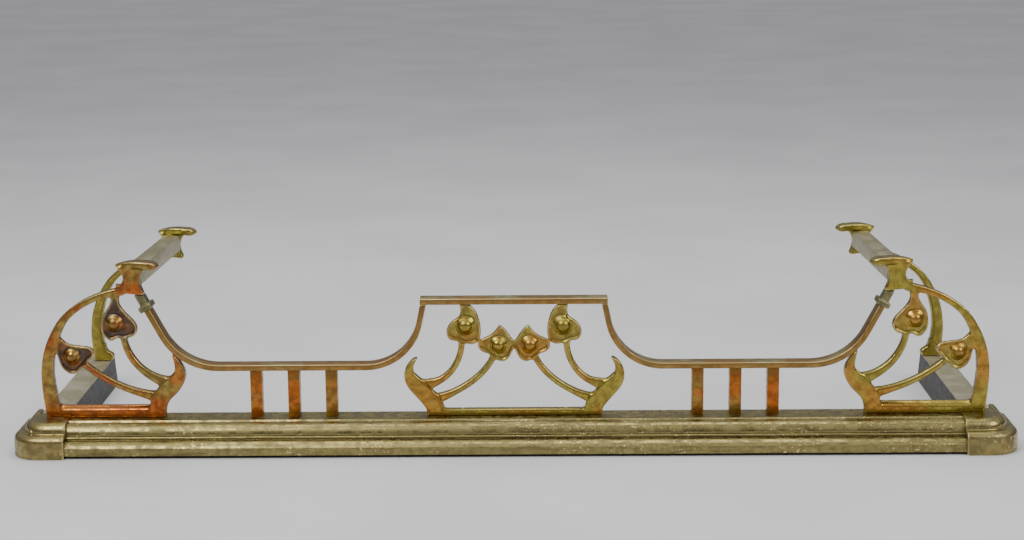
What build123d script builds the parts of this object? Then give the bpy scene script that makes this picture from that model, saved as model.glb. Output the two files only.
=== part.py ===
"""Cast and rolled brass hearth fender, open at the back, in millimetres.

X runs along the fender, Y from the room (-) to the wall (+), Z up. The origin is the middle of
its footprint, on the hearth.
"""
from build123d import *
import os
from math import cos, radians, sin, tan

# Overall sizes
LENGTH = 1354.0          # over the two corner covers
DEPTH = 410.0            # corner cover face to the wall end of the side kerbs
LEDGE_HEIGHT = 43.5      # flat top of the kerb, on which everything stands
CASTING_HEIGHT = 216.0   # front brackets, from the ledge to the crown of the cap
ARCH_DRAWN = 216.0       # casting height for which the bracket's curves are drawn

# Kerb: rolled brass over an iron angle
SHEET = 1.5
IRON = 3.0
LEDGE_DEPTH = 40.0
SIDE_TOP_WIDTH = 38.0
MOULDING_PROJECTION = 37.0   # ledge edge to the lower fascia
FASCIA_TOP = 14.5
FASCIA_BOTTOM = 4.0
TORUS_RADIUS = 14.5
IRON_SPLAY = 3.5             # how far the iron leg leans inwards at the hearth
SIDE_EDGE_ROUND = 4.0

# Corner covers
COVER_PROUD = 4.0
COVER_SHOULDER = 31.0
COVER_LAP = 2.0
COVER_FRONT_LENGTH = 74.0
COVER_SIDE_LENGTH = 106.0
COVER_SIDE_PROJECTION = 26.0
COVER_CORNER_RADIUS = 40.0
COVER_CLEARANCE = 0.5
TORUS_FILLET = 12.0
COVER_BULGE = 9.0

# Castings
CASTING_SETBACK = 15.0       # ledge edge to the front face of the castings
CASTING_DEPTH = 14.0
LEAF_DEPTH = 9.0
BASE_BAR_HEIGHT = 10.5
BASE_BAR_BACK_HEIGHT = 16.0
ORNAMENT_BAR_HEIGHT = 9.0
ARCH_INSET = 10.0            # kerb side to the outermost point of the arch
NECK_X = 128.0               # middle of the neck, from the outermost point of the arch
HOOK_TIP = 179.0             # tip of the hook, from the outermost point of the arch
HOOK_REACH = 20.0            # tip of the hook over the middle of the low run of the rail
CAP_DEPTH = 24.0
CAP_END_RADIUS = 12.0
REAR_DROP = 13.0             # the rear uprights have no base bar and stand that much lower
ORNAMENT_HALF = 119.0

# Rails and balusters
RAIL_THICKNESS = 8.0
RAIL_DEPTH = 25.0
RAIL_LOW = 68.0              # middle of the low run, above the ledge
RAIL_TOP = 162.0             # top of the raised middle, above the ledge
CENTRE_RAIL_HALF = 126.5
SWEEP_RADIUS = 85.0
SWEEP_ANGLE = 62.0
RISE_RADIUS = 75.0
RISE_ANGLE = 78.0
SIDE_RAIL_SIZE = 23.0
SIDE_RAIL_WALL = 1.5
COLLAR_WIDTH = 18.0
COLLAR_HEIGHT = 8.0
COLLAR_DEPTH = 30.0
COLLAR_NECK = 11.0
COLLAR_DROP = 17.0           # middle of the collar under the foot of the neck
BALUSTER = 16.0
BALUSTER_FIRST = 248.0
BALUSTER_PITCH = 51.0
BALUSTERS = 3

# Fasteners and fits
SCREW = 6.0
SCREW_HEAD = 11.0
SCREW_HEAD_HEIGHT = 4.0
SCREW_GRIP = 8.0
PIN = 4.0
TIE = 3.0
HOLE_CLEARANCE = 0.2
FIT = 0.25
SEAT = 0.3

# Places worked out from the sizes above
HALF = LENGTH / 2
FRONT = -DEPTH / 2
BACK = DEPTH / 2
LEDGE_FRONT = FRONT + COVER_PROUD + MOULDING_PROJECTION
LEDGE_BACK = LEDGE_FRONT + LEDGE_DEPTH
SIDE_OUTER = HALF - COVER_SIDE_PROJECTION
SIDE_INNER = SIDE_OUTER - SIDE_TOP_WIDTH
CASTING_FRONT = LEDGE_FRONT + CASTING_SETBACK
CASTING_MIDDLE = CASTING_FRONT + CASTING_DEPTH / 2
REAR_FRONT = BACK - CASTING_DEPTH - CASTING_SETBACK
REAR_MIDDLE = REAR_FRONT + CASTING_DEPTH / 2
ARCH_X = -(SIDE_OUTER - ARCH_INSET)
IRON_TOP = LEDGE_HEIGHT - SHEET
IRON_UNDER = IRON_TOP - IRON
NECK_FOOT = CASTING_HEIGHT - 47.0
CAP_UNDER = CASTING_HEIGHT - 10.0


def standing_box(length, depth, height):
    """Box that stands on the origin."""
    return Box(length, depth, height, align=(Align.CENTER, Align.CENTER, Align.MIN))


def standing_cylinder(diameter, height):
    """Upright cylinder that stands on the origin."""
    return Cylinder(diameter / 2, height, align=(Align.CENTER, Align.CENTER, Align.MIN))


def above_ledge():
    """Everything above the ledge, to trim the feet of the castings to it."""
    return Pos(0, 0, LEDGE_HEIGHT) * standing_box(4 * HALF, 4 * HALF, 2 * HALF)


def slab(face, front, depth):
    """Extrude an outline drawn in X and Z from its front face towards the wall."""
    return extrude(Plane.XZ.offset(-front) * face, amount=-depth)


def ribbon(points, widths):
    """Outline of a bar that follows the points and has the given width at each."""
    left = []
    right = []
    last = len(points) - 1
    for i, (x, z) in enumerate(points):
        before = points[max(i - 1, 0)]
        after = points[min(i + 1, last)]
        run = Vector(after[0] - before[0], after[1] - before[1]).normalized()
        half = widths[i] / 2
        left.append((x - run.Y * half, z + run.X * half))
        right.append((x + run.Y * half, z - run.X * half))
    sides = [Spline(*left), Line(left[-1], right[-1]), Spline(*reversed(right)), Line(right[0], left[0])]
    return make_face(sides)


def leaf(points):
    """Leaf outline: a smooth curve from the neck round the leaf, closed across the neck."""
    edges = [Spline(*points)]
    if points[0] != points[-1]:
        edges.append(Line(points[-1], points[0]))
    return make_face(edges)


def boss(x, z, front, radius):
    """Round boss standing on the face of a leaf."""
    ball = Pos(x, front + radius * 0.35, z) * Sphere(radius)
    return ball & Pos(x, front - radius, z) * Box(4 * radius, 4 * radius, 4 * radius)


def drilled(part, x, y, diameter, low, high):
    """Take an upright hole out of a part."""
    return part - Pos(x, y, low) * standing_cylinder(diameter + HOLE_CLEARANCE, high - low)


def screw(x, y, top, under, diameter=SCREW):
    """Hexagon screw from below: its head bears at the height under, its end is at top."""
    shank = standing_cylinder(diameter, top - under)
    hexagon = extrude(RegularPolygon(SCREW_HEAD / 2, 6), amount=-SCREW_HEAD_HEIGHT)
    return Pos(x, y, under) * (shank + hexagon)


def mirrored(part):
    """The right-hand copy of a left-hand part."""
    return mirror(part, about=Plane.YZ)


# Kerb ---------------------------------------------------------------------------------------

def moulding_line(skin=0.0):
    """Front kerb's line in Y and Z, from the torus top to the bottom of the fascia.

    With a skin it is the inside of the sheet, which passes straight behind the bead.
    """
    fascia = LEDGE_FRONT - MOULDING_PROJECTION + skin
    middle = (LEDGE_FRONT - 7.0, LEDGE_HEIGHT - 1.5 - TORUS_RADIUS)
    radius = TORUS_RADIUS - skin
    torus_top = (middle[0], middle[1] + radius)
    torus_end = (middle[0] - radius, middle[1])
    torus_mid = (middle[0] - radius * cos(radians(50)), middle[1] + radius * sin(radians(50)))
    bulge = (torus_end[0] - 1.6, torus_end[1] - 5.4 - skin)
    bulge_mid = ((bulge[0] + fascia) / 2 - 2.0 + skin / 3, (bulge[1] + FASCIA_TOP - skin / 2) / 2 + 1.4)
    bead_top = (torus_end[0] + 0.6, torus_end[1] - 1.0)
    bead_out = (torus_end[0] - 2.2, torus_end[1] - 2.8)
    bead_low = (torus_end[0] - 0.8, torus_end[1] - 4.6)
    edges = [ThreePointArc(torus_top, torus_mid, torus_end)]
    if skin:
        edges.append(Line(torus_end, bulge))
    else:
        bead = ThreePointArc(bead_top, bead_out, bead_low)
        edges += [Line(torus_end, bead_top), bead, Line(bead_low, bulge)]
    corner = (fascia, FASCIA_TOP - skin / 2)
    return edges + [ThreePointArc(bulge, bulge_mid, corner), Line(corner, (fascia, FASCIA_BOTTOM))]


def ledge_line(back, skin=0.0):
    """Ledge's line in Y and Z, from its back edge over the groove to the torus top."""
    top = LEDGE_HEIGHT - skin
    groove = (LEDGE_FRONT - 2.0, top - 2.5)
    return [
        Line((back, top), (LEDGE_FRONT, top)),
        Line((LEDGE_FRONT, top), groove),
        Line(groove, (LEDGE_FRONT - 7.0, top - 1.5)),
    ]


def front_profile():
    """Kerb section in Y and Z, as a filled shape."""
    fascia = LEDGE_FRONT - MOULDING_PROJECTION
    closing = [
        Line((fascia, FASCIA_BOTTOM), (LEDGE_BACK, FASCIA_BOTTOM)),
        Line((LEDGE_BACK, FASCIA_BOTTOM), (LEDGE_BACK, LEDGE_HEIGHT)),
    ]
    return make_face(ledge_line(LEDGE_BACK) + moulding_line() + closing)


def along_x(face, half):
    """Extrude a section drawn in Y and Z to both sides of the middle."""
    return extrude(Plane.YZ * face, amount=half, both=True)


def front_moulding():
    """Rolled brass front of the kerb: ledge, torus, bead, second moulding and fascia."""
    fascia = LEDGE_FRONT - MOULDING_PROJECTION
    outside = ledge_line(LEDGE_BACK) + moulding_line()
    inside = ledge_line(LEDGE_BACK, SHEET) + moulding_line(SHEET)
    ends = [
        Line((LEDGE_BACK, LEDGE_HEIGHT), (LEDGE_BACK, LEDGE_HEIGHT - SHEET)),
        Line((fascia, FASCIA_BOTTOM), (fascia + SHEET, FASCIA_BOTTOM)),
    ]
    part = along_x(make_face(outside + inside + ends), SIDE_OUTER)
    for x, y, size in ledge_holes():
        part = drilled(part, x, y, size, IRON_UNDER, LEDGE_HEIGHT + 1)
    return part


def front_backing():
    """Iron angle under the ledge, whose leg leans back to the hearth."""
    foot = LEDGE_BACK + IRON_SPLAY
    section = Polyline(
        (LEDGE_FRONT + 2, IRON_TOP), (LEDGE_BACK, IRON_TOP), (foot, 0), (foot - IRON, 0),
        (LEDGE_BACK - IRON, IRON_UNDER), (LEDGE_FRONT + 2, IRON_UNDER), close=True)
    part = along_x(make_face(section), SIDE_INNER)
    for x, y, size in ledge_holes() + tie_holes(front=True):
        part = drilled(part, x, y, size, IRON_UNDER - 1, IRON_TOP + 1)
    return part


def side_moulding():
    """Left side kerb: flat brass top, rounded into its outer side."""
    outer = -SIDE_OUTER
    inner = -SIDE_INNER
    top = LEDGE_HEIGHT
    start = LEDGE_BACK
    radius = SIDE_EDGE_ROUND
    edges = [
        Line((inner, top), (outer + radius, top)),
        RadiusArc((outer + radius, top), (outer, top - radius), -radius),
        Line((outer, top - radius), (outer, FASCIA_BOTTOM)),
        Line((outer, FASCIA_BOTTOM), (outer + SHEET, FASCIA_BOTTOM)),
        Line((outer + SHEET, FASCIA_BOTTOM), (outer + SHEET, top - radius)),
        RadiusArc((outer + SHEET, top - radius), (outer + radius, top - SHEET), radius - SHEET),
        Line((outer + radius, top - SHEET), (inner, top - SHEET)),
        Line((inner, top - SHEET), (inner, top)),
    ]
    part = slab(make_face(edges), start, BACK - start)
    x, y = upright_screw_place()
    return drilled(part, x, y, SCREW, IRON_UNDER, top + 1)


def side_backing():
    """Left iron angle under the side kerb; its leg leans in over the hearth."""
    inner = -SIDE_INNER
    foot = inner + IRON_SPLAY
    outer = -SIDE_OUTER + SIDE_EDGE_ROUND
    start = LEDGE_BACK
    section = Polyline(
        (outer, IRON_TOP), (inner, IRON_TOP), (foot, 0), (foot - IRON, 0),
        (inner - IRON, IRON_UNDER), (outer, IRON_UNDER), close=True)
    part = slab(make_face(section), start, BACK - start)
    clear = 2 * (IRON_SPLAY + FIT)
    inward = (Align.MIN, Align.CENTER, Align.CENTER)
    part -= Pos(inner, start, 0) * Box(60, clear, 2 * IRON_UNDER)
    part -= Pos(inner, start, 0) * Box(60, clear, 2 * LEDGE_HEIGHT, align=inward)
    x, y = upright_screw_place()
    for hole_x, hole_y, size in [(x, y, SCREW)] + tie_holes(front=False):
        part = drilled(part, hole_x, hole_y, size, IRON_UNDER - 1, IRON_TOP + 1)
    return part


def tie_places():
    """Places of the four rivets of the left corner tie: two in the front, two in the side."""
    x = -(SIDE_INNER + SIDE_OUTER) / 2
    y = LEDGE_FRONT + 9
    front = [(-SIDE_INNER + 12, y), (-SIDE_INNER + 42, y)]
    return front + [(x, LEDGE_BACK + 20), (x, LEDGE_BACK + 50)]


def tie_holes(front):
    """Rivet holes of the corner ties, in the front iron (both ends) or the left side iron."""
    places = tie_places()[:2] if front else tie_places()[2:]
    holes = [(x, y, PIN) for x, y in places]
    if front:
        holes += [(-x, y, PIN) for x, y in places]
    return holes


def corner_tie():
    """Left flat iron L that ties the front angle to the side angle, under both."""
    inner = -SIDE_INNER + 52
    outer = -SIDE_OUTER + SIDE_EDGE_ROUND + 2
    edge = -SIDE_INNER - IRON - 2
    front = LEDGE_FRONT + 3
    back = LEDGE_BACK + 62
    elbow = LEDGE_FRONT + 16
    outline = Polyline((outer, front), (inner, front), (inner, elbow), (edge, elbow), (edge, back),
                       (outer, back), close=True)
    part = Pos(0, 0, IRON_UNDER - TIE) * extrude(make_face(outline), amount=TIE)
    for x, y in tie_places():
        part = drilled(part, x, y, PIN, IRON_UNDER - TIE - 1, IRON_UNDER + 1)
    return part


def tie_rivets():
    """Rivets of both corner ties, headed under the tie."""
    rivets = []
    for x, y in tie_places():
        shank = standing_cylinder(PIN, TIE + IRON)
        head = Cylinder(PIN, 1.5, align=(Align.CENTER, Align.CENTER, Align.MAX))
        rivet = Pos(x, y, IRON_UNDER - TIE) * (shank + head)
        rivets += [rivet, mirrored(rivet)]
    return rivets


# Corner covers ------------------------------------------------------------------------------

def cover_outline(inset):
    """Plan of the left cover, inset from its widest line at the fascia."""
    left = -HALF + inset
    front = FRONT + inset
    right = -HALF + COVER_FRONT_LENGTH
    back = FRONT + COVER_SIDE_LENGTH
    radius = COVER_CORNER_RADIUS - inset * 0.6
    edges = [
        Line((right, back), (left, back)),
        Line((left, back), (left, front + radius)),
        RadiusArc((left, front + radius), (left + radius, front), -radius),
        Line((left + radius, front), (right, front)),
        Line((right, front), (right, back)),
    ]
    return make_face(edges)


def rounded(block, radius):
    """Round the top outer edge of a cover block, from its joint to its side end."""
    rim = block.edges().group_by(Axis.Z)[-1]
    rim = rim.filter_by(lambda e: e.center().X < -SIDE_OUTER + 12 or e.center().Y < LEDGE_FRONT)
    rim = rim.filter_by(lambda e: e.center().Y < FRONT + COVER_SIDE_LENGTH - 1)
    rim = rim.filter_by(lambda e: e.center().X < -HALF + COVER_FRONT_LENGTH - 1)
    return fillet(rim, radius)


def corner_cover():
    """Left corner casting that hides the joint of the front and side kerbs."""
    inset = 14.0
    top = LEDGE_HEIGHT + COVER_LAP
    body = rounded(extrude(cover_outline(0), amount=COVER_SHOULDER), COVER_BULGE)
    crown = Pos(0, 0, COVER_SHOULDER) * extrude(cover_outline(inset), amount=top - COVER_SHOULDER)
    body += rounded(crown, TORUS_FILLET)
    gap = COVER_CLEARANCE
    kerb = Plane.YZ * (front_profile() + Pos(-gap, 0) * front_profile() + Pos(-gap, gap) * front_profile())
    reach = SIDE_OUTER + gap
    body -= Pos(-reach, 0, 0) * extrude(kerb, amount=COVER_FRONT_LENGTH + 40)
    below = make_face(Polyline(
        (LEDGE_FRONT - MOULDING_PROJECTION - gap, FASCIA_TOP), (LEDGE_BACK + 80, FASCIA_TOP),
        (LEDGE_BACK + 80, -1), (LEDGE_FRONT - MOULDING_PROJECTION - gap, -1), close=True))
    body -= Pos(-reach, 0, 0) * extrude(Plane.YZ * below, amount=COVER_FRONT_LENGTH + 40)
    ledge_room = Box(200, 200, 2 * LEDGE_HEIGHT, align=(Align.MIN, Align.MIN, Align.CENTER))
    body -= Pos(-reach, LEDGE_FRONT, 0) * ledge_room
    lap_room = Box(200, 200, 20, align=(Align.MIN, Align.MIN, Align.MIN))
    body -= Pos(-HALF, CASTING_FRONT - 1, LEDGE_HEIGHT) * lap_room
    return body


# Castings -----------------------------------------------------------------------------------

def at_arch(points, drop=0.0):
    """Bracket points, measured from the outermost point of the arch and from the ledge."""
    return [(ARCH_X + x, LEDGE_HEIGHT + z - drop) for x, z in points]


def drawn(points, drop=0.0):
    """Bracket points whose heights follow the casting's height, as drawn for ARCH_DRAWN."""
    return at_arch([(x, z * CASTING_HEIGHT / ARCH_DRAWN) for x, z in points], drop)


def arch(drop):
    """Quarter arch from the ledge to the neck, heavy at its foot and slim at the neck."""
    line = [(16, 0), (12, 22), (8.6, 50), (8.8, 70), (13.5, 95), (22.5, 118), (34, 136.5), (47.5, 149),
            (62, 158.5), (77, 165.5), (92, 170.5), (116, 174.5)]
    widths = [22, 20, 17.5, 16.5, 15, 12.5, 10.5, 9.5, 9, 9, 9.5, 11]
    return ribbon(drawn(line, drop), widths)


def neck(drop):
    """Waisted neck under the cap, with its pointed foot and the thorn over the arch."""
    foot = NECK_FOOT
    top = CAP_UNDER + 3
    right = at_arch([(142.5, foot), (144, foot + 3), (140.5, foot + 10), (139, foot + 22),
                     (142.5, foot + 32), (157, top)], drop)
    left = at_arch([(106, top), (113.5, foot + 32), (116, foot + 22), (113, foot + 15.5),
                    (104.5, foot + 16.5), (110, foot + 4)], drop)
    outline = [Line(right[0], right[1]), Spline(*right[1:]), Line(right[-1], left[0]), Spline(*left[:-1])]
    outline += [Line(left[-2], left[-1]), Line(left[-1], right[0])]
    return make_face(outline)


def cap(front, drop):
    """Wing-shaped cap: pointed and thin outwards, round and thick inwards."""
    crown = CASTING_HEIGHT
    side = at_arch([(104, crown - 5), (116, crown - 1.5), (130, crown), (148, crown - 1), (160, crown - 3.5),
                    (165, crown - 7.5)], drop)
    under = at_arch([(165, crown - 7.5), (160, crown - 11), (146, crown - 10.5), (128, crown - 9),
                     (112, crown - 8), (104, crown - 5)], drop)
    wing = slab(make_face([Spline(*side), Spline(*under)]), front, CASTING_DEPTH + CAP_DEPTH)
    middle = front + CASTING_DEPTH / 2
    tail_x = ARCH_X + 104
    bulb_x = ARCH_X + 165 - CAP_END_RADIUS
    half = CAP_DEPTH / 2
    plan = [
        Spline((tail_x, middle), (tail_x + 24, middle - half * 0.8), (bulb_x, middle - half)),
        ThreePointArc((bulb_x, middle - half), (bulb_x + CAP_END_RADIUS, middle), (bulb_x, middle + half)),
        Spline((bulb_x, middle + half), (tail_x + 24, middle + half * 0.8), (tail_x, middle)),
    ]
    column = extrude(make_face(plan), amount=LEDGE_HEIGHT + CASTING_HEIGHT + 1)
    wing = Pos(0, -CAP_DEPTH / 2, 0) * wing
    return wing & column


def rail_spigot(front, drop, depth):
    """Stub that fills the end of the side rail; it slopes as the rail does."""
    size = SIDE_RAIL_SIZE - 2 * SIDE_RAIL_WALL - 2 * FIT
    face = Plane.XZ.offset(-front) * Pos(*side_rail_middle(drop)) * Rectangle(size, size)
    way = side_rail_slope() * (1 if depth > 0 else -1)
    return extrude(face, amount=abs(depth), dir=way)


def side_rail_slope():
    """Direction of the side rail, from the front casting to the rear one."""
    return Vector(0, REAR_FRONT - CASTING_FRONT - CASTING_DEPTH, -REAR_DROP).normalized()


def base_bar(start, end):
    """Base bar of a bracket between two X: low front face and a top that rises to the back."""
    front = CASTING_FRONT
    back = front + CASTING_DEPTH
    low = LEDGE_HEIGHT
    section = make_face(Polyline(
        (front, low), (front, low + BASE_BAR_HEIGHT), (front + 3, low + BASE_BAR_HEIGHT + 3),
        (front + 8, low + BASE_BAR_BACK_HEIGHT), (back, low + BASE_BAR_BACK_HEIGHT), (back, low), close=True))
    return Pos(start, 0, 0) * extrude(Plane.YZ * section, amount=end - start)


def rail_sweep_disc():
    """Disc inside the left front rail's sweep, out to the rail's underside, with its clearance."""
    x, low = rail_path()[1]
    middle = x + SWEEP_RADIUS * tan(radians(SWEEP_ANGLE / 2))
    return Pos(middle, low + SWEEP_RADIUS) * Circle(SWEEP_RADIUS + RAIL_THICKNESS / 2 + FIT)


def front_bracket():
    """Left front casting: foot, arch, two leaves with bosses, stems, hook, neck and cap."""
    front = CASTING_FRONT
    bar = base_bar(ARCH_X + 5, ARCH_X + 162)
    hook_line = drawn([(155.5, 0), (156.5, 13), (161, 26), (172, 39), (183, 51), (188, 62), (186, 72)])
    hook_line.append((ARCH_X + HOOK_TIP, LEDGE_HEIGHT + RAIL_LOW + HOOK_REACH))
    hook = ribbon(hook_line, [25, 23, 23, 24, 21, 15.5, 10, 3]) - rail_sweep_disc()
    upper_stem = ribbon(drawn([(113, 112), (119, 90), (129, 74), (142, 61.5), (157, 52.5), (174, 46)]),
                        [9, 9, 9.5, 10.5, 13, 20])
    lower_stem = ribbon(drawn([(57, 76), (69, 65), (84, 55), (99, 46.5), (116, 39), (134, 33), (158, 27)]),
                        [8.5, 8.5, 8.5, 8.5, 9, 10.5, 17])
    plate = slab(arch(0) + hook + neck(0), front, CASTING_DEPTH) + bar
    plate += slab(upper_stem + lower_stem, front + 1.5, CASTING_DEPTH - 3)
    upper_leaf = leaf(drawn([(110, 167), (110, 156), (117.5, 145), (127.5, 134.5), (132.5, 123), (129, 114.5),
                               (117, 110), (107, 110.5), (97, 106), (87, 113), (83.5, 127), (88.5, 145),
                               (97, 158), (98, 167)]))
    lower_leaf = leaf(drawn([(12, 100), (25, 113), (35, 103.5), (47.5, 100), (60, 98.5), (70.5, 94.5),
                               (72.5, 88), (66, 80), (57, 72), (50, 63.5), (42, 60), (33, 64), (26, 73),
                               (22.5, 87), (12, 100)]))
    plate += slab(upper_leaf + lower_leaf, front + 2, LEAF_DEPTH)
    for place, radius in zip(drawn([(101.5, 130.5), (42.5, 85.5)]), [10, 9.5]):
        plate += boss(place[0], place[1], front + 2, radius)
    plate += cap(front, 0)
    plate += rail_spigot(front + CASTING_DEPTH, 0, 12)
    plate &= above_ledge()
    for x, y in bracket_screw_places():
        plate = drilled(plate, x, y, SCREW, LEDGE_HEIGHT - 1, LEDGE_HEIGHT + SCREW_GRIP + FIT)
    return plate


def rear_upright():
    """Left rear casting: the same arch, neck and cap on a short flared foot."""
    front = REAR_FRONT
    foot = leaf(at_arch([(2, 0), (6, 12), (10, 26), (19, 26), (23, 15), (31, 9.5), (32.5, 5), (29, 0)]))
    plate = slab(arch(REAR_DROP) + neck(REAR_DROP) + foot, front, CASTING_DEPTH) & above_ledge()
    plate += cap(front, REAR_DROP)
    plate += rail_spigot(front, REAR_DROP, -12)
    x, y = upright_screw_place()
    return drilled(plate, x, y, SCREW, LEDGE_HEIGHT - 1, LEDGE_HEIGHT + SCREW_GRIP + FIT)


def ornament_half():
    """Left half of the middle casting: base bar, hook, two stems and two leaves."""
    def place(points):
        return [(-x, LEDGE_HEIGHT + z) for x, z in points]

    under = RAIL_TOP - RAIL_THICKNESS
    base = place([(0, 0), (ORNAMENT_HALF, 0), (ORNAMENT_HALF, ORNAMENT_BAR_HEIGHT),
                  (0, ORNAMENT_BAR_HEIGHT)])
    bar = make_face(Polyline(*base, close=True))
    hook = ribbon(place([(107, 0), (108, 12), (116, 24), (128, 37), (138.5, 49), (142.5, 59.5), (140.5, 69),
                         (131.5, 80)]), [24, 24, 23, 22, 19, 13, 9, 3])
    outer_stem = ribbon(place([(71, 104), (72, 90), (76, 77), (82, 66), (91, 55.5), (102, 48), (114, 43.5),
                               (128, 39)]), [8.5, 8.5, 8.5, 8.5, 9, 10, 14, 22])
    inner_stem = ribbon(place([(27, 86), (32, 74), (40, 63), (51, 52), (65, 41.5), (79, 33.5), (93, 27),
                               (110, 22)]), [9, 8.5, 8.5, 8.5, 8.5, 9, 11, 16])
    outer_leaf = leaf(place([(61, under), (52, 145.5), (46.5, 132), (44.5, 118), (47, 105), (56, 98.5),
                             (66, 100.5), (76, 103), (86, 104.5), (91, 112), (89.5, 123), (82, 131.5),
                             (73.5, 138), (72, 146), (73.5, under)]))
    inner_leaf = leaf(place([(20, 125.5), (13, 120), (5, 109.5), (0, 99), (3, 86.5), (9, 77.5), (16, 74.5),
                             (25, 78), (34, 85), (44, 88.5), (49, 96), (45, 104.5), (35, 109.5), (26.5, 116),
                             (20, 125.5)]))
    front = CASTING_FRONT
    part = slab(bar + hook, front, CASTING_DEPTH)
    part += slab(outer_stem + inner_stem, front + 1.5, CASTING_DEPTH - 3)
    part += slab(outer_leaf + inner_leaf, front + 2, LEAF_DEPTH)
    part += boss(-66, LEDGE_HEIGHT + 124.5, front + 2, 11)
    part += boss(-21.5, LEDGE_HEIGHT + 98, front + 2, 10)
    bridge = Pos(0, front + 2 + LEAF_DEPTH / 2, LEDGE_HEIGHT + 98.5) * Box(2, LEAF_DEPTH, 9)
    return (part + bridge) & above_ledge()


def centre_ornament():
    """Middle casting, whole, with its two screw holes."""
    half = ornament_half()
    part = half + mirrored(half)
    for x, y in ornament_screw_places():
        part = drilled(part, x, y, SCREW, LEDGE_HEIGHT - 1, LEDGE_HEIGHT + SCREW_GRIP + FIT)
    return part


# Rails and balusters ------------------------------------------------------------------------

def side_rail_middle(drop):
    """Middle of the side rail's end, left hand, in X and Z."""
    return ARCH_X + NECK_X, LEDGE_HEIGHT + CAP_UNDER - drop - SIDE_RAIL_SIZE / 2 - 3 * SEAT


def side_rail():
    """Left square tube between the necks; it falls towards the wall by the rear drop."""
    start = CASTING_FRONT + CASTING_DEPTH
    run = REAR_FRONT - start
    x, z = side_rail_middle(0)
    inside = SIDE_RAIL_SIZE - 2 * SIDE_RAIL_WALL
    section = Rectangle(SIDE_RAIL_SIZE, SIDE_RAIL_SIZE) - Rectangle(inside, inside)
    face = Plane.XZ.offset(-start) * Pos(x, z) * section
    return extrude(face, amount=(run**2 + REAR_DROP**2) ** 0.5, dir=side_rail_slope())


def rail_path():
    """Middle line of the left front rail, in X and Z: down from the collar, along, and up."""
    low = LEDGE_HEIGHT + RAIL_LOW
    top = LEDGE_HEIGHT + RAIL_TOP
    start_z = LEDGE_HEIGHT + NECK_FOOT - COLLAR_DROP
    rise = tan(radians(RISE_ANGLE))
    fall = tan(radians(SWEEP_ANGLE))
    end_x = -(CENTRE_RAIL_HALF - RAIL_THICKNESS * 0.75)
    rise_x = end_x - (top - low) / rise
    start_x = collar_place()[0]
    fall_x = start_x + (start_z - low) / fall
    return [(start_x, start_z), (fall_x, low), (rise_x, low), (end_x, top)]


def collar_place():
    """Middle of the left collar, in X and Z."""
    return ARCH_X + 145.0, LEDGE_HEIGHT + NECK_FOOT - COLLAR_DROP


def front_rail():
    """Left flat rail: sweeps down from the collar, runs low, and rises to the middle."""
    points = rail_path()
    corners = [(x, CASTING_FRONT + RAIL_DEPTH / 2, z) for x, z in points]
    path = FilletPolyline(*corners, radius=[SWEEP_RADIUS, RISE_RADIUS])
    section = Plane(origin=path @ 0, x_dir=(0, 1, 0), z_dir=path % 0) * Rectangle(RAIL_DEPTH, RAIL_THICKNESS)
    part = sweep(section, path=path)
    under = LEDGE_HEIGHT + RAIL_TOP - RAIL_THICKNESS
    return part - Pos(0, 0, under) * standing_box(4 * CENTRE_RAIL_HALF, 4 * DEPTH, CASTING_HEIGHT)


def centre_rail():
    """Raised middle rail that lies on the two rising ends."""
    place = Pos(0, CASTING_FRONT + RAIL_DEPTH / 2, LEDGE_HEIGHT + RAIL_TOP - RAIL_THICKNESS)
    return place * standing_box(2 * CENTRE_RAIL_HALF, RAIL_DEPTH, RAIL_THICKNESS)


def rail_collar():
    """Left socket block between the foot of the neck and the end of the front rail."""
    x, z = collar_place()
    lean = 90 - SWEEP_ANGLE
    block = fillet(Box(COLLAR_WIDTH, COLLAR_DEPTH, COLLAR_HEIGHT).edges(), 1.5)
    rise = COLLAR_DROP / cos(radians(lean)) + 3
    block += fillet(standing_box(COLLAR_NECK, COLLAR_DEPTH - 10, rise).edges(), 1.5)
    placed = Pos(x, CASTING_FRONT + RAIL_DEPTH / 2, z) * Rot(0, -lean, 0) * block
    above = Pos(0, 0, LEDGE_HEIGHT + NECK_FOOT) * standing_box(4 * HALF, 4 * DEPTH, CASTING_HEIGHT)
    return placed - front_rail_room() - above


def front_rail_room():
    """The rail's end, grown by the fit, as the socket it needs."""
    points = rail_path()
    path = Line(*[(x, CASTING_FRONT + RAIL_DEPTH / 2, z) for x, z in points[:2]])
    section = Rectangle(RAIL_DEPTH + 2 * FIT, RAIL_THICKNESS + 2 * FIT)
    return sweep(Plane(origin=path @ 0, x_dir=(0, 1, 0), z_dir=path % 0) * section, path=path)


def baluster_places():
    """X of every baluster, left and right."""
    distances = [BALUSTER_FIRST + i * BALUSTER_PITCH for i in range(BALUSTERS)]
    return [-d for d in distances] + distances


def baluster(x):
    """Upright bar between the ledge and the low run of the rail."""
    y = CASTING_FRONT + BALUSTER / 2 + 2
    bar = Pos(x, y, LEDGE_HEIGHT) * standing_box(BALUSTER, BALUSTER, RAIL_LOW - RAIL_THICKNESS / 2)
    return drilled(bar, x, y, SCREW, LEDGE_HEIGHT - 1, LEDGE_HEIGHT + SCREW_GRIP + FIT)


# Fasteners ----------------------------------------------------------------------------------

def bracket_screw_places():
    """Two screws up into the base bar of each front bracket."""
    places = [(ARCH_X + distance, CASTING_MIDDLE) for distance in (76.0, 128.0)]
    return places + [(-x, y) for x, y in places]


def ornament_screw_places():
    """Two screws up into the base bar of the middle casting."""
    return [(-70.0, CASTING_MIDDLE), (70.0, CASTING_MIDDLE)]


def upright_screw_place():
    """The left rear upright's screw."""
    return ARCH_X + 15.0, REAR_MIDDLE


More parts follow.
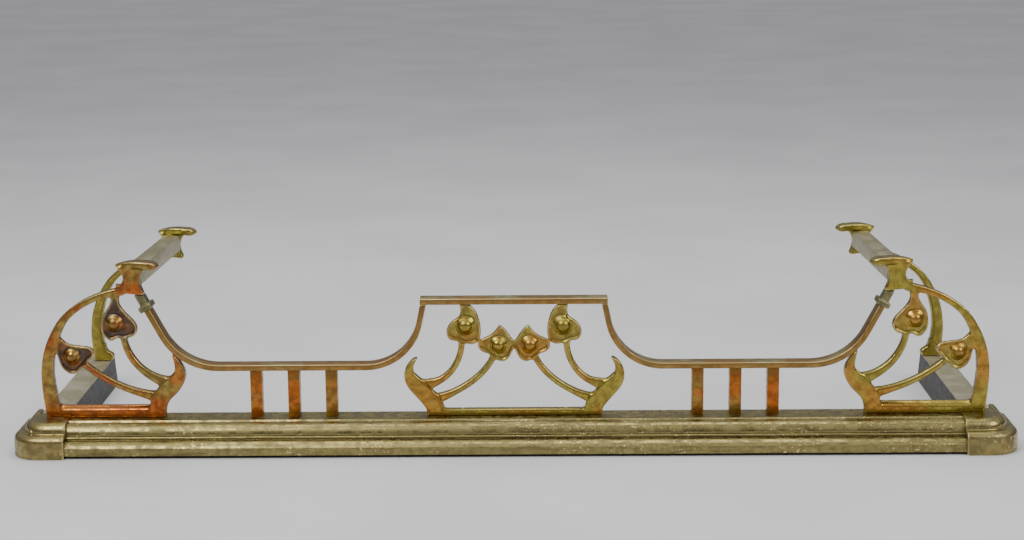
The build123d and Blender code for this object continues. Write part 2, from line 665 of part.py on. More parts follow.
def baluster_screw_places():
    """One screw up into each baluster."""
    return [(x, CASTING_FRONT + BALUSTER / 2 + 2) for x in baluster_places()]


def ledge_holes():
    """Holes through the front ledge and its iron: x, y and screw size."""
    places = bracket_screw_places() + ornament_screw_places() + baluster_screw_places()
    return [(x, y, SCREW) for x, y in places]


def ledge_screws(places):
    """Screws whose heads bear under the iron and whose ends are in the castings."""
    return [screw(x, y, LEDGE_HEIGHT + SCREW_GRIP, IRON_UNDER) for x, y in places]


# All the nodes ------------------------------------------------------------------------------

def both_hands(name, part):
    """The left-hand part and its mirror image, under their two names."""
    return {f"left_{name}": part, f"right_{name}": mirrored(part)}


def build():
    """Every node of the fender, by name."""
    nodes = {"front_moulding": front_moulding(), "front_backing": front_backing()}
    nodes.update(both_hands("side_moulding", side_moulding()))
    nodes.update(both_hands("side_backing", side_backing()))
    nodes.update(both_hands("corner_tie", corner_tie()))
    nodes.update(both_hands("corner_cover", corner_cover()))
    nodes.update(both_hands("front_bracket", front_bracket()))
    nodes.update(both_hands("rear_upright", rear_upright()))
    nodes.update(both_hands("side_rail", side_rail()))
    nodes.update(both_hands("front_rail", front_rail()))
    nodes.update(both_hands("rail_collar", rail_collar()))
    nodes["centre_rail"] = centre_rail()
    nodes["centre_ornament"] = centre_ornament()
    for i in range(BALUSTERS):
        nodes.update(both_hands(f"baluster_{i + 1}", baluster(baluster_places()[i])))
    x, y = upright_screw_place()
    nodes["bracket_screws"] = Compound(children=ledge_screws(bracket_screw_places()))
    nodes["ornament_screws"] = Compound(children=ledge_screws(ornament_screw_places()))
    nodes["upright_screws"] = Compound(children=ledge_screws([(x, y), (-x, y)]))
    nodes["baluster_screws"] = Compound(children=ledge_screws(baluster_screw_places()))
    nodes["tie_rivets"] = Compound(children=tie_rivets())
    return nodes


os.makedirs("parts", exist_ok=True)
for node, part in build().items():
    export_step(part, f"parts/{node}.step")
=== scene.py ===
"""Looks of the cast and rolled brass hearth fender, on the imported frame, in metres."""
import logging
from dataclasses import dataclass, field
from enum import Enum
from math import cos, sin

import bmesh
import bpy
import numpy as np
from mathutils import Matrix, Vector


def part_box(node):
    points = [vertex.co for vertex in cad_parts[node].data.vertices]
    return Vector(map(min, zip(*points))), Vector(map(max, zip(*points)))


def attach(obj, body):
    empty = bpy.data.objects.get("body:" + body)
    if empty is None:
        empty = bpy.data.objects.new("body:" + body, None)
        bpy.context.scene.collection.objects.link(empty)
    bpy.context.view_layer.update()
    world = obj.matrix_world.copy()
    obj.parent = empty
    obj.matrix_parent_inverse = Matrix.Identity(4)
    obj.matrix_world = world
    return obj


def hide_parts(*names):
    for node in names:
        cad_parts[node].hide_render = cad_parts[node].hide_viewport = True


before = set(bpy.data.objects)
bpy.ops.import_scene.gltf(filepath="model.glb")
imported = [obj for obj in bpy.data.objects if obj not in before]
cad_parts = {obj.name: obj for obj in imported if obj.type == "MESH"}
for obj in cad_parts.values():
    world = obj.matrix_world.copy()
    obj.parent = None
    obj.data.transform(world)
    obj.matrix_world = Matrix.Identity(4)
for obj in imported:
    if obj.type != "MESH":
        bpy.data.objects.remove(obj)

LOG = logging.getLogger("fender")
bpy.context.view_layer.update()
HANDS = ("left", "right")
FLAT = 0.5               # "edge" value of a surface that neither stands out nor lies in a hollow
BEVEL_POLISH_AND_HIGHLIGHT = 0.74       # "edge" value of a broken edge, where polish shows the bright metal and a painted highlight
MERGE_DISTANCE = 0.00002  # points of a CAD mesh that are this near are one point
SHARP_ANGLE = 0.6        # edges sharper than this, in radians, are broken
SHADING_ANGLE = 0.45     # edges sharper than this, in radians, stay crisp in the shading
FOOT_TOP = 0.085         # height at which the tint of a casting's foot begins
FOOT_FULL = 0.045        # height at which it is full
PIT_DEPTH = 0.0003
Colour = tuple[float, float, float]
Place = tuple[float, float, float]


class Facing(Enum):
    """Which way a surface points, for tint that gathers on one side; up-facing faces made paler carry painted
    sheen from overhead light as well as beige tarnish.
    """

    FRONT = 1
    TOP = 2


# Materials ----------------------------------------------------------------------------------


class NodeTree:
    """Short way to add nodes and link them in one tree."""

    def __init__(self, tree: bpy.types.NodeTree) -> None:
        """Wrap a node tree.

        Args:
            tree: the tree to build in.
        """
        self.tree = tree

    def add(self, kind: str, **settings: object) -> bpy.types.Node:
        """Add a node.

        Args:
            kind: Blender's name of the node type.
            settings: node properties to set.

        Returns:
            The new node.
        """
        node = self.tree.nodes.new(kind)
        for name, value in settings.items():
            setattr(node, name, value)
        return node

    def link(self, source: bpy.types.NodeSocket, target: bpy.types.NodeSocket) -> None:
        """Link an output to an input.

        Args:
            source: output socket.
            target: input socket.
        """
        self.tree.links.new(source, target)

    def noise(self, place: bpy.types.NodeSocket, scale: float, detail: float) -> bpy.types.NodeSocket:
        """Add a noise texture.

        Args:
            place: coordinates to read.
            scale: size of the noise, per metre.
            detail: number of octaves.

        Returns:
            Its value.
        """
        node = self.add("ShaderNodeTexNoise")
        node.inputs["Scale"].default_value = scale
        node.inputs["Detail"].default_value = detail
        self.link(place, node.inputs["Vector"])
        return node.outputs["Fac"]

    def span(self, value: bpy.types.NodeSocket, low: float, high: float, start: float = 0.0,
             end: float = 1.0) -> bpy.types.NodeSocket:
        """Map a range of values smoothly to another.

        Args:
            value: value to map.
            low: input that gives start.
            high: input that gives end.
            start: lowest result.
            end: highest result.

        Returns:
            The mapped value.
        """
        node = self.add("ShaderNodeMapRange", interpolation_type="SMOOTHSTEP")
        for name, number in (("From Min", low), ("From Max", high), ("To Min", start), ("To Max", end)):
            node.inputs[name].default_value = number
        self.link(value, node.inputs["Value"])
        return node.outputs["Result"]

    def mix(self, mask: bpy.types.NodeSocket, first: bpy.types.NodeSocket | Colour,
            second: bpy.types.NodeSocket | Colour) -> bpy.types.NodeSocket:
        """Mix two colours.

        Args:
            mask: 0 for the first, 1 for the second.
            first: colour or socket.
            second: colour or socket.

        Returns:
            The mixed colour.
        """
        node = self.add("ShaderNodeMix", data_type="RGBA")
        self.link(mask, node.inputs[0])
        for socket, value in ((node.inputs[6], first), (node.inputs[7], second)):
            if isinstance(value, tuple):
                socket.default_value = (*value, 1.0)
            else:
                self.link(value, socket)
        return node.outputs[2]

    def math(self, operation: str, first: bpy.types.NodeSocket,
             second: bpy.types.NodeSocket | float) -> bpy.types.NodeSocket:
        """Combine two values.

        Args:
            operation: Blender's name of the operation.
            first: first value.
            second: second value or number.

        Returns:
            The result.
        """
        node = self.add("ShaderNodeMath", operation=operation)
        self.link(first, node.inputs[0])
        if isinstance(second, float):
            node.inputs[1].default_value = second
        else:
            self.link(second, node.inputs[1])
        return node.outputs[0]


def patina_group() -> bpy.types.NodeTree:
    """Masks that every aged metal shares.

    Returns:
        A group whose outputs are cloudy, mottled, pitted, fine, flecked and streaked masks.
    """
    name = "patina_masks"
    if name in bpy.data.node_groups:
        return bpy.data.node_groups[name]
    tree = bpy.data.node_groups.new(name, "ShaderNodeTree")
    work = NodeTree(tree)
    coordinates = work.add("ShaderNodeTexCoord").outputs["Object"]
    drawn = work.add("ShaderNodeMapping")
    drawn.inputs["Scale"].default_value = (0.10, 1.0, 1.0)
    work.link(coordinates, drawn.inputs["Vector"])
    masks = {
        "Cloud": work.span(work.noise(coordinates, 22.0, 3.0), 0.40, 0.64),
        "Mottle": work.span(work.noise(coordinates, 95.0, 6.0), 0.36, 0.68),
        "Pits": work.span(work.noise(coordinates, 520.0, 4.0), 0.60, 0.70),
        "Fine": work.noise(coordinates, 1400.0, 3.0),
        "Flecks": work.math("MULTIPLY", work.span(work.noise(coordinates, 300.0, 5.0), 0.60, 0.68),
                            work.span(work.noise(coordinates, 14.0, 2.0), 0.45, 0.62)),
        "Streaks": work.span(work.noise(drawn.outputs[0], 210.0, 5.0), 0.50, 0.66),
    }
    out = work.add("NodeGroupOutput")
    for label, socket in masks.items():
        tree.interface.new_socket(label, in_out="OUTPUT", socket_type="NodeSocketFloat")
        work.link(socket, out.inputs[label])
    return tree


@dataclass(frozen=True)
class MetalFinish:
    """An aged metal: its colours, how much of each kind of ageing it has, and how much painted shade and
    highlight.

    The base colour has clouds of tint, and all of the tint at a casting's foot; where the tint is paler and
    gathers on up-facing faces, it is painted sheen from overhead light as well as beige tarnish. Dark dirt
    lies in pits and streaks along the length, hollows darken with tarnish and painted shade, and faces that
    look away from the front and the top get painted shade. Bare metal shows at flecks, and at edges with a
    painted highlight over it, and leaves have a colour of their own.
    """

    name: str
    base: Colour
    tint: Colour
    dark: Colour
    bare_metal_and_highlight: Colour
    tint_amount: float = 0.6
    dark_amount: float = 0.3
    facing: Facing = Facing.FRONT
    rough: tuple[float, float] = (0.24, 0.46)
    metallic: float = 1.0
    relief: float = 0.3
    pits: float = 0.35
    leaf: Colour = (0.30, 0.21, 0.05)
    leaf_amount: float = 0.0
    flecks: float = 0.0
    streaks: float = 0.0
    foot: float = 0.0
    # Strength of painted shade on faces that look away from the front and the top.
    painted_side_shade: float = 0.0

    def material(self) -> bpy.types.Material:
        """Build the material, or fetch it if it exists.

        Returns:
            The finished material.
        """
        if self.name in bpy.data.materials:
            return bpy.data.materials[self.name]
        material = bpy.data.materials.new(self.name)
        material.use_nodes = True
        material.diffuse_color = (*self.base, 1.0)
        work = NodeTree(material.node_tree)
        shader = material.node_tree.nodes["Principled BSDF"]
        masks = work.add("ShaderNodeGroup", node_tree=patina_group()).outputs
        axes = work.add("ShaderNodeSeparateXYZ")
        work.link(work.add("ShaderNodeNewGeometry").outputs["Normal"], axes.inputs[0])
        edge = work.add("ShaderNodeAttribute", attribute_name="edge").outputs["Fac"]
        # Raised edges take the bare-metal colour: polish and a painted highlight.
        edge_highlight_and_polish = work.span(edge, 0.58, 0.84, 0.0, 0.7)
        colour = self.tinted(work, masks, axes.outputs)
        colour = self.darkened_with_dirt_and_shade(work, masks, axes.outputs, edge, colour)
        work.link(work.mix(edge_highlight_and_polish, colour, self.bare_metal_and_highlight), shader.inputs["Base Color"])
        dull = work.span(masks["Mottle"], 0.0, 1.0, *self.rough)
        work.link(work.math("SUBTRACT", dull, work.math("MULTIPLY", edge_highlight_and_polish, 0.10)), shader.inputs["Roughness"])
        shader.inputs["Metallic"].default_value = self.metallic
        work.link(self.pitted(work, masks), shader.inputs["Normal"])
        return material

    def tinted(self, work: NodeTree, masks: bpy.types.NodeOutputs,
               axes: bpy.types.NodeOutputs) -> bpy.types.NodeSocket:
        """Colour the metal with its tint, its tinted foot and its leaves.

        Args:
            work: tree to build in.
            masks: the shared patina masks.
            axes: the surface's direction, by axis.

        Returns:
            The colour before dirt, painted shade, bare metal and painted highlight.
        """
        # The tint gathers on the facing's side; on up-facing finishes it is paler than the base, painted
        # sheen from overhead light as well as beige tarnish.
        if self.facing is Facing.FRONT:
            side = work.span(axes["Y"], -0.35, -0.9, 0.25, 1.0)
        else:
            side = work.span(axes["Z"], 0.35, 0.9, 0.15, 1.0)
        tint = work.math("MULTIPLY", work.math("MULTIPLY", masks["Cloud"], side), self.tint_amount)
        colour = work.mix(tint, self.base, self.tint)
        if self.foot:
            height = work.add("ShaderNodeSeparateXYZ")
            work.link(work.add("ShaderNodeTexCoord").outputs["Object"], height.inputs[0])
            low = work.span(height.outputs["Z"], FOOT_TOP, FOOT_FULL)
            colour = work.mix(work.math("MULTIPLY", low, self.foot), colour, self.tint)
        leaf = work.add("ShaderNodeAttribute", attribute_name="leaf").outputs["Fac"]
        patches = work.span(masks["Cloud"], 0.9, 0.3, 0.45, 1.0)
        shade = work.math("MULTIPLY", work.span(leaf, 0.25, 0.9), patches)
        return work.mix(work.math("MULTIPLY", shade, self.leaf_amount), colour, self.leaf)

    def darkened_with_dirt_and_shade(self, work: NodeTree, masks: bpy.types.NodeOutputs, axes: bpy.types.NodeOutputs,
               edge: bpy.types.NodeSocket, colour: bpy.types.NodeSocket) -> bpy.types.NodeSocket:
        """Darken pits and streaks, darken hollows with tarnish and painted shade, paint shade on faces that
        look away from the front and the top, and add bright flecks.

        Args:
            work: tree to build in.
            masks: the shared patina masks.
            axes: the surface's direction, by axis.
            edge: how far the surface stands out of its surroundings.
            colour: the clean colour.

        Returns:
            The colour with its dirt and painted shade.
        """
        # Hollows darken with tarnish and painted shade; the mottle is dirt.
        hollow = work.span(edge, 0.44, 0.24)
        dirt_and_hollow_shade = work.math("MULTIPLY", work.math("MAXIMUM", hollow, masks["Mottle"]), self.dark_amount)
        colour = work.mix(dirt_and_hollow_shade, colour, self.dark)
        colour = work.mix(work.math("MULTIPLY", masks["Pits"], self.pits), colour, self.dark)
        colour = work.mix(work.math("MULTIPLY", masks["Streaks"], self.streaks), colour, self.dark)
        colour = work.mix(work.math("MULTIPLY", masks["Flecks"], self.flecks), colour, self.bare_metal_and_highlight)
        # Painted shade: faces that look neither to the front nor up are darkened.
        away = work.span(axes["Y"], -0.8, -0.2)
        painted_side_shade = work.math("MULTIPLY", away, work.span(axes["Z"], 0.6, 0.1))
        return work.mix(work.math("MULTIPLY", painted_side_shade, self.painted_side_shade), colour, self.dark)

    def pitted(self, work: NodeTree, masks: bpy.types.NodeOutputs) -> bpy.types.NodeSocket:
        """Roughen the surface with a fine grain and shallow pits.

        Args:
            work: tree to build in.
            masks: the shared patina masks.

        Returns:
            The bumped normal.
        """
        height = work.math("SUBTRACT", work.math("MULTIPLY", masks["Fine"], 0.4), masks["Pits"])
        bump = work.add("ShaderNodeBump")
        bump.inputs["Strength"].default_value = self.relief
        bump.inputs["Distance"].default_value = PIT_DEPTH
        work.link(height, bump.inputs["Height"])
        return bump.outputs["Normal"]


# Bare brass, also the painted highlight on raised edges.
BARE_BRASS_AND_HIGHLIGHT: Colour = (0.80, 0.66, 0.33)
CASTING = MetalFinish("casting_brass_aged", (0.37, 0.30, 0.055), (0.50, 0.17, 0.035), (0.09, 0.05, 0.025),
                      BARE_BRASS_AND_HIGHLIGHT, tint_amount=0.55, dark_amount=0.4, leaf=(0.30, 0.24, 0.07),
                      leaf_amount=0.45, rough=(0.2, 0.4), painted_side_shade=0.6)
LEFT_CASTING = MetalFinish("left_casting_brass_aged", (0.34, 0.24, 0.06), (0.46, 0.12, 0.025),
                           (0.06, 0.035, 0.025), BARE_BRASS_AND_HIGHLIGHT, tint_amount=1.0, dark_amount=0.5,
                           leaf=(0.075, 0.058, 0.055), leaf_amount=0.9, rough=(0.2, 0.42), foot=0.9,
                           painted_side_shade=0.65)
UPRIGHT = MetalFinish("upright_brass_aged", (0.36, 0.30, 0.06), (0.34, 0.24, 0.05), (0.10, 0.08, 0.03),
                      BARE_BRASS_AND_HIGHLIGHT, tint_amount=0.4, dark_amount=0.3, rough=(0.22, 0.42), painted_side_shade=0.4)
COVER = MetalFinish("cover_brass_aged", (0.33, 0.28, 0.11), (0.26, 0.15, 0.05), (0.08, 0.065, 0.035),
                    (0.80, 0.70, 0.40), tint_amount=0.4, dark_amount=0.45, rough=(0.24, 0.48), flecks=0.8)
ROLLED = MetalFinish("rolled_brass_dull", (0.31, 0.26, 0.10), (0.26, 0.20, 0.075), (0.10, 0.08, 0.04),
                     (0.80, 0.68, 0.32), tint_amount=0.5, dark_amount=0.3, rough=(0.26, 0.52), pits=0.6,
                     flecks=1.0, streaks=0.45)
# SIDE_TOP, RAIL and SIDE_RAIL: the paler tint on up-facing faces is painted sheen from overhead light as well
# as beige tarnish.
SIDE_TOP = MetalFinish("side_top_brass_matt", (0.34, 0.31, 0.20), (0.50, 0.47, 0.34), (0.18, 0.16, 0.10),
                       (0.66, 0.58, 0.36), tint_amount=0.8, dark_amount=0.35, facing=Facing.TOP,
                       rough=(0.42, 0.64), metallic=0.8, relief=0.15)
RAIL = MetalFinish("rail_brass_tarnished", (0.34, 0.19, 0.055), (0.40, 0.36, 0.17), (0.13, 0.09, 0.035),
                   (0.58, 0.46, 0.22), tint_amount=1.0, dark_amount=0.4, facing=Facing.TOP,
                   rough=(0.3, 0.52), relief=0.2)
SIDE_RAIL = MetalFinish("side_rail_brass_tarnished", (0.33, 0.30, 0.17), (0.46, 0.43, 0.28),
                        (0.18, 0.15, 0.08), (0.62, 0.54, 0.34), tint_amount=0.8, dark_amount=0.15,
                        facing=Facing.TOP, rough=(0.38, 0.5), relief=0.0, pits=0.1)
COLLAR = MetalFinish("collar_brass_tarnished", (0.25, 0.23, 0.11), (0.20, 0.18, 0.09), (0.07, 0.06, 0.035),
                     (0.50, 0.44, 0.24), dark_amount=0.5, rough=(0.34, 0.56))
BALUSTER = MetalFinish("baluster_brass_aged", (0.34, 0.20, 0.05), (0.50, 0.12, 0.02), (0.09, 0.045, 0.02),
                       (0.70, 0.50, 0.22), tint_amount=0.85, dark_amount=0.45, rough=(0.24, 0.46))
IRON = MetalFinish("iron_dark", (0.075, 0.074, 0.072), (0.09, 0.075, 0.06), (0.03, 0.028, 0.026),
                   (0.14, 0.135, 0.13), dark_amount=0.12, rough=(0.55, 0.68), metallic=0.5, relief=0.0,
                   pits=0.08)
STEEL = MetalFinish("screw_steel_dark", (0.26, 0.25, 0.24), (0.20, 0.15, 0.11), (0.08, 0.07, 0.06),
                    (0.45, 0.44, 0.42), dark_amount=0.4, rough=(0.35, 0.6))


# Meshes -------------------------------------------------------------------------------------


def merged_copy(node: str) -> bmesh.types.BMesh:
    """Copy a CAD node's mesh with its loose triangles merged.

    Args:
        node: name of the CAD node.

    Returns:
        The new mesh, to be freed by the caller.
    """
    mesh = bmesh.new()
    mesh.from_mesh(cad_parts[node].data)
    bmesh.ops.remove_doubles(mesh, verts=mesh.verts, dist=MERGE_DISTANCE)
    return mesh


class Surface:
    """A mesh's points, normals and edges as arrays, with values stored back as attributes."""

    def __init__(self, mesh: bpy.types.Mesh) -> None:
        """Read a mesh.

        Args:
            mesh: the mesh.
        """
        self.mesh = mesh
        self.count = len(mesh.vertices)
        points = np.empty(self.count * 3)
        mesh.vertices.foreach_get("co", points)
        normals = np.empty(self.count * 3)
        mesh.vertices.foreach_get("normal", normals)
        ends = np.empty(len(mesh.edges) * 2, dtype=np.int32)
        mesh.edges.foreach_get("vertices", ends)
        self.points = points.reshape(-1, 3)
        self.normals = normals.reshape(-1, 3)
        self.ends = ends.reshape(-1, 2)
        self.degree = np.maximum(np.bincount(ends, minlength=self.count), 1)

    def spread(self, values: np.ndarray, passes: int) -> np.ndarray:
        """Average a value over each point's neighbours.

        Args:
            values: one value for each point.
            passes: how many times to average.

        Returns:
            The averaged values.
        """
        for _ in range(passes):
            total = values.copy()
            for one, other in ((0, 1), (1, 0)):
                np.add.at(total, self.ends[:, one], values[self.ends[:, other]])
            values = total / (self.degree + 1)
        return values

    def store(self, name: str, values: np.ndarray) -> None:
        """Store one value for each point as an attribute.

        Args:
            name: name of the attribute.
            values: the values.
        """
        layer = self.mesh.attributes.new(name, "FLOAT", "POINT")
        layer.data.foreach_set("value", values.astype(np.float32))


def dish_leaves(mesh: bpy.types.Mesh, plane: float, depth: float) -> None:
    """Hollow the leaf faces inside a raised rim, and store where they are as "leaf".

    Args:
        mesh: evenly meshed casting.
        plane: Y of the leaf faces.
        depth: how deep the middle of a leaf goes.
    """
    surface = Surface(mesh)
    near = np.abs(surface.points[:, 1] - plane) < 0.0004
    inside = surface.spread((near & (surface.normals[:, 1] < -0.95)).astype(float), passes=10)
    hollow = np.clip((inside - 0.5) / 0.45, 0.0, 1.0)
    surface.points[:, 1] += depth * hollow * (surface.normals[:, 1] < 0)
    mesh.vertices.foreach_set("co", surface.points.ravel())
    mesh.update()
    surface.store("leaf", inside)


def mark_edges(mesh: bpy.types.Mesh, reach: float) -> None:
    """Store how far each point stands out of its surroundings, as the attribute "edge".

    Args:
        mesh: mesh to mark; FLAT is flat, more is an outer edge and less a hollow.
        reach: height over the neighbours that counts as fully sharp, in metres.
    """
    surface = Surface(mesh)
    height = np.zeros(surface.count)
    for one, other in ((0, 1), (1, 0)):
        here, there = surface.ends[:, one], surface.ends[:, other]
        step = surface.points[here] - surface.points[there]
        np.add.at(height, here, (step * surface.normals[here]).sum(1))
    height = surface.spread(height / surface.degree, passes=5)
    surface.store("edge", np.clip(FLAT + 0.5 * height / reach, 0.0, 1.0))


def casting_front(depth: float = 0.014) -> float:
    """Find the front face of the front castings.

    Args:
        depth: thickness of the castings.

    Returns:
        Its Y, in metres.
    """
    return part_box("centre_ornament")[1][1] - depth


@dataclass
class Piece:
    """A new piece that stands for one CAD node, hung from the root body."""

    node: str
    finish: MetalFinish

    def shaped(self) -> bpy.types.Mesh:
        """Make the piece's mesh.

        Returns:
            The mesh, in the frame's own coordinates.
        """
        raise NotImplementedError

    def build(self) -> bpy.types.Object:
        """Make, dress and place the piece.

        Returns:
            The new object.
        """
        mesh = self.shaped()
        mesh.materials.clear()
        mesh.materials.append(self.finish.material())
        piece = bpy.data.objects.new(f"{self.node}_look", mesh)
        bpy.context.scene.collection.objects.link(piece)
        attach(piece, "root")
        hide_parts(self.node)
        LOG.info("%s: %d faces", piece.name, len(mesh.polygons))
        return piece


@dataclass
class Casting(Piece):
    """A casting: every edge softened as sand casting and polishing leave it."""

    grain: float = 0.0012
    passes: int = 9
    leaves: bool = False
    leaf_set_back: float = 0.002
    leaf_depth: float = 0.0022

    def shaped(self) -> bpy.types.Mesh:
        """Remesh the merged copy evenly and soften it.

        Returns:
            The softened mesh.
        """
        source = merged_copy(self.node)
        rough = bpy.data.meshes.new(f"{self.node}_source")
        source.to_mesh(rough)
        source.free()
        holder = bpy.data.objects.new(f"{self.node}_holder", rough)
        bpy.context.scene.collection.objects.link(holder)
        remesh = holder.modifiers.new("even", "REMESH")
        remesh.mode = "VOXEL"
        remesh.voxel_size = self.grain
        view = bpy.context.evaluated_depsgraph_get()
        even = bpy.data.meshes.new_from_object(holder.evaluated_get(view))
        bpy.data.objects.remove(holder)
        bpy.data.meshes.remove(rough)
        work = bmesh.new()
        work.from_mesh(even)
        for _ in range(self.passes):
            bmesh.ops.smooth_vert(work, verts=work.verts, factor=0.5, use_axis_x=True, use_axis_y=True,
                                  use_axis_z=True)
        work.to_mesh(even)
        work.free()
        even.shade_smooth()
        if self.leaves:
            dish_leaves(even, casting_front() + self.leaf_set_back, self.leaf_depth)
        mark_edges(even, self.grain * 0.2)
        return even


@dataclass
class Bar(Piece):
    """A bar, tube or sheet: crisp, with its sharp edges just broken."""

    edge: float = 0.0009

    def shaped(self) -> bpy.types.Mesh:
        """Bevel the sharp edges of the merged copy.

        Returns:
            The bevelled mesh.
        """
        work = merged_copy(self.node)
        edge_layer = work.verts.layers.float.new("edge")
        for point in work.verts:
            point[edge_layer] = FLAT
        if self.edge:
            bmesh.ops.dissolve_limit(work, angle_limit=0.002, verts=work.verts, edges=work.edges)
            sharp = [e for e in work.edges if len(e.link_faces) == 2 and e.calc_face_angle(0.0) > SHARP_ANGLE]
            done = bmesh.ops.bevel(work, geom=sharp, offset=self.edge, offset_type="OFFSET", segments=3,
                                   profile=0.5, affect="EDGES", clamp_overlap=True, material=-1)
            rounded = set(done["faces"])
            # Bevel points take the bright edge value: polish and painted highlight.
            for point in work.verts:
                if point.link_faces and all(f in rounded for f in point.link_faces):
                    point[edge_layer] = BEVEL_POLISH_AND_HIGHLIGHT
            bmesh.ops.triangulate(work, faces=work.faces)
        mesh = bpy.data.meshes.new(f"{self.node}_mesh")
        work.to_mesh(mesh)
        work.free()
        mesh.shade_smooth()
        mesh.set_sharp_from_angle(angle=SHADING_ANGLE)
        return mesh


# The fender ---------------------------------------------------------------------------------


@dataclass
class Kerb:
    """Rolled brass kerb with its cast corner covers and the iron behind it."""

    cover_grain: float = 0.0011
    cover_passes: int = 4
    irons: list[str] = field(default_factory=lambda: [
        "front_backing", "left_side_backing", "right_side_backing", "left_corner_tie", "right_corner_tie",
        "tie_rivets"])

    def build(self) -> None:
        """Make and dress the kerb."""
        Bar("front_moulding", ROLLED, edge=0.0).build()
        for hand in HANDS:
            Bar(f"{hand}_side_moulding", SIDE_TOP, edge=0.0).build()
            Casting(f"{hand}_corner_cover", COVER, grain=self.cover_grain, passes=self.cover_passes).build()
        for node in self.irons:
            dress(node, IRON)


@dataclass
class Castings:
    """Front brackets, rear uprights and the middle ornament."""

    grain: float = 0.0012

    def build(self) -> None:
        """Make and dress the castings."""
        Casting("left_front_bracket", LEFT_CASTING, grain=self.grain, leaves=True).build()
        Casting("right_front_bracket", CASTING, grain=self.grain, leaves=True).build()
        Casting("centre_ornament", CASTING, grain=self.grain, leaves=True).build()
        for hand in HANDS:
            Casting(f"{hand}_rear_upright", UPRIGHT, grain=self.grain).build()


@dataclass
class Rails:
    """Front rails, collars, balusters and side rails."""

    balusters: int = 3
    edge: float = 0.0011
    tube_edge: float = 0.0005
    collar_grain: float = 0.0007
    collar_passes: int = 3

    def build(self) -> None:
        """Make and dress the rails."""
        Bar("centre_rail", RAIL, edge=self.edge).build()
        for hand in HANDS:
            Bar(f"{hand}_front_rail", RAIL, edge=self.edge).build()
            Bar(f"{hand}_side_rail", SIDE_RAIL, edge=self.tube_edge).build()
            Casting(f"{hand}_rail_collar", COLLAR, grain=self.collar_grain, passes=self.collar_passes).build()
            for number in range(1, self.balusters + 1):
                Bar(f"{hand}_baluster_{number}", BALUSTER, edge=self.edge).build()


def dress(node: str, finish: MetalFinish) -> None:
    """Give a CAD node that keeps its own shape a better material.

    Args:
        node: name of the CAD node.
        finish: its finish.
    """
    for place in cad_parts[node].material_slots:
        place.link = "OBJECT"
        place.material = finish.material()
    LOG.info("%s: %s", node, finish.name)


# Studio -------------------------------------------------------------------------------------


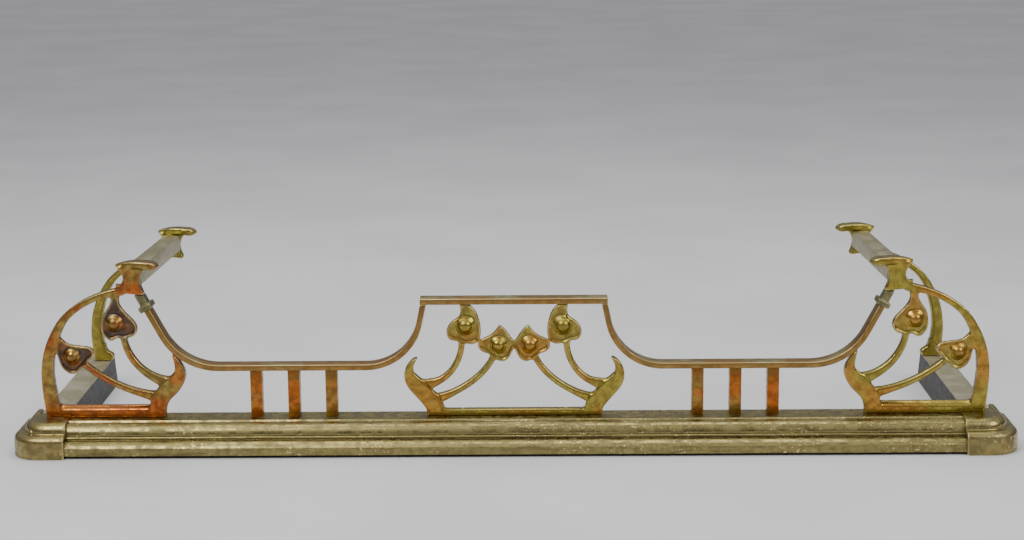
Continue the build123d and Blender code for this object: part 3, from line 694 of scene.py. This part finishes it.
@dataclass
class Studio:
    """Pale floor, soft lights and the camera."""

    floor_size: float = 30.0
    lens: float = 73.84
    place: Place = (0.0295, -2.9038, 0.7991)
    pitch: float = 0.1985
    yaw: float = -0.0114
    roll: float = -0.0084

    def floor(self) -> None:
        """Lay the floor at the fender's resting height."""
        work = bmesh.new()
        bmesh.ops.create_grid(work, x_segments=8, y_segments=8, size=self.floor_size / 2)
        mesh = bpy.data.meshes.new("floor_mesh")
        work.to_mesh(mesh)
        work.free()
        material = bpy.data.materials.new("floor_pale")
        material.use_nodes = True
        nodes = NodeTree(material.node_tree)
        place = nodes.add("ShaderNodeTexCoord").outputs["Object"]
        shader = material.node_tree.nodes["Principled BSDF"]
        cloud = nodes.span(nodes.noise(place, 2.5, 4.0), 0.3, 0.7)
        nodes.link(nodes.mix(cloud, (0.56, 0.56, 0.57), (0.62, 0.62, 0.63)), shader.inputs["Base Color"])
        shader.inputs["Roughness"].default_value = 0.6
        mesh.materials.append(material)
        floor = bpy.data.objects.new("floor", mesh)
        bpy.context.scene.collection.objects.link(floor)

    def light(self, name: str, place: Place, size: float, power: float) -> None:
        """Hang a soft square light that points at the fender.

        Args:
            name: name of the light.
            place: its place, in metres.
            size: its side, in metres.
            power: its power, in watts.
        """
        lamp = bpy.data.lights.new(name, "AREA")
        lamp.size = size
        lamp.energy = power
        holder = bpy.data.objects.new(name, lamp)
        holder.location = place
        holder.rotation_euler = (Vector((0, 0, 0.1)) - Vector(place)).to_track_quat("-Z", "Y").to_euler()
        bpy.context.scene.collection.objects.link(holder)

    def camera(self) -> None:
        """Set the camera at the viewing angle."""
        right = Vector((cos(self.yaw), -sin(self.yaw), 0))
        ahead = Vector((cos(self.pitch) * sin(self.yaw), cos(self.pitch) * cos(self.yaw), -sin(self.pitch)))
        up = right.cross(ahead)
        across = cos(self.roll) * right + sin(self.roll) * up
        upward = cos(self.roll) * up - sin(self.roll) * right
        turn = Matrix((across, upward, -ahead)).transposed()
        data = bpy.data.cameras.new("camera")
        data.lens = self.lens
        data.sensor_width = 36.0
        data.sensor_fit = "HORIZONTAL"
        data.clip_end = 50.0
        camera = bpy.data.objects.new("camera", data)
        camera.matrix_world = Matrix.Translation(self.place) @ turn.to_4x4()
        bpy.context.scene.collection.objects.link(camera)
        bpy.context.scene.camera = camera

    def surroundings(self) -> None:
        """Light the studio from all round, dim at the floor and bright overhead."""
        world = bpy.data.worlds.new("studio")
        world.use_nodes = True
        sky = NodeTree(world.node_tree)
        axes = sky.add("ShaderNodeSeparateXYZ")
        sky.link(sky.add("ShaderNodeTexCoord").outputs["Generated"], axes.inputs[0])
        shade = sky.mix(sky.span(axes.outputs["Z"], 0.0, 0.75), (0.20, 0.20, 0.22), (1.0, 1.0, 1.03))
        background = world.node_tree.nodes["Background"]
        sky.link(shade, background.inputs["Color"])
        background.inputs["Strength"].default_value = 0.6
        bpy.context.scene.world = world

    def build(self) -> None:
        """Make the whole studio."""
        self.floor()
        self.light("key", (-1.6, -1.8, 2.6), 1.8, 70.0)
        self.light("fill", (2.2, -1.6, 1.8), 1.6, 35.0)
        self.light("top", (0.0, 0.6, 2.6), 2.2, 45.0)
        self.surroundings()
        self.camera()


def main() -> None:
    """Build the fender and its studio."""
    logging.basicConfig(level=logging.INFO, format="%(message)s")
    for assembly in (Kerb(), Castings(), Rails()):
        assembly.build()
    for place in ("bracket", "ornament", "upright", "baluster"):
        dress(f"{place}_screws", STEEL)
    Studio().build()


if __name__ == "__main__":
    main()
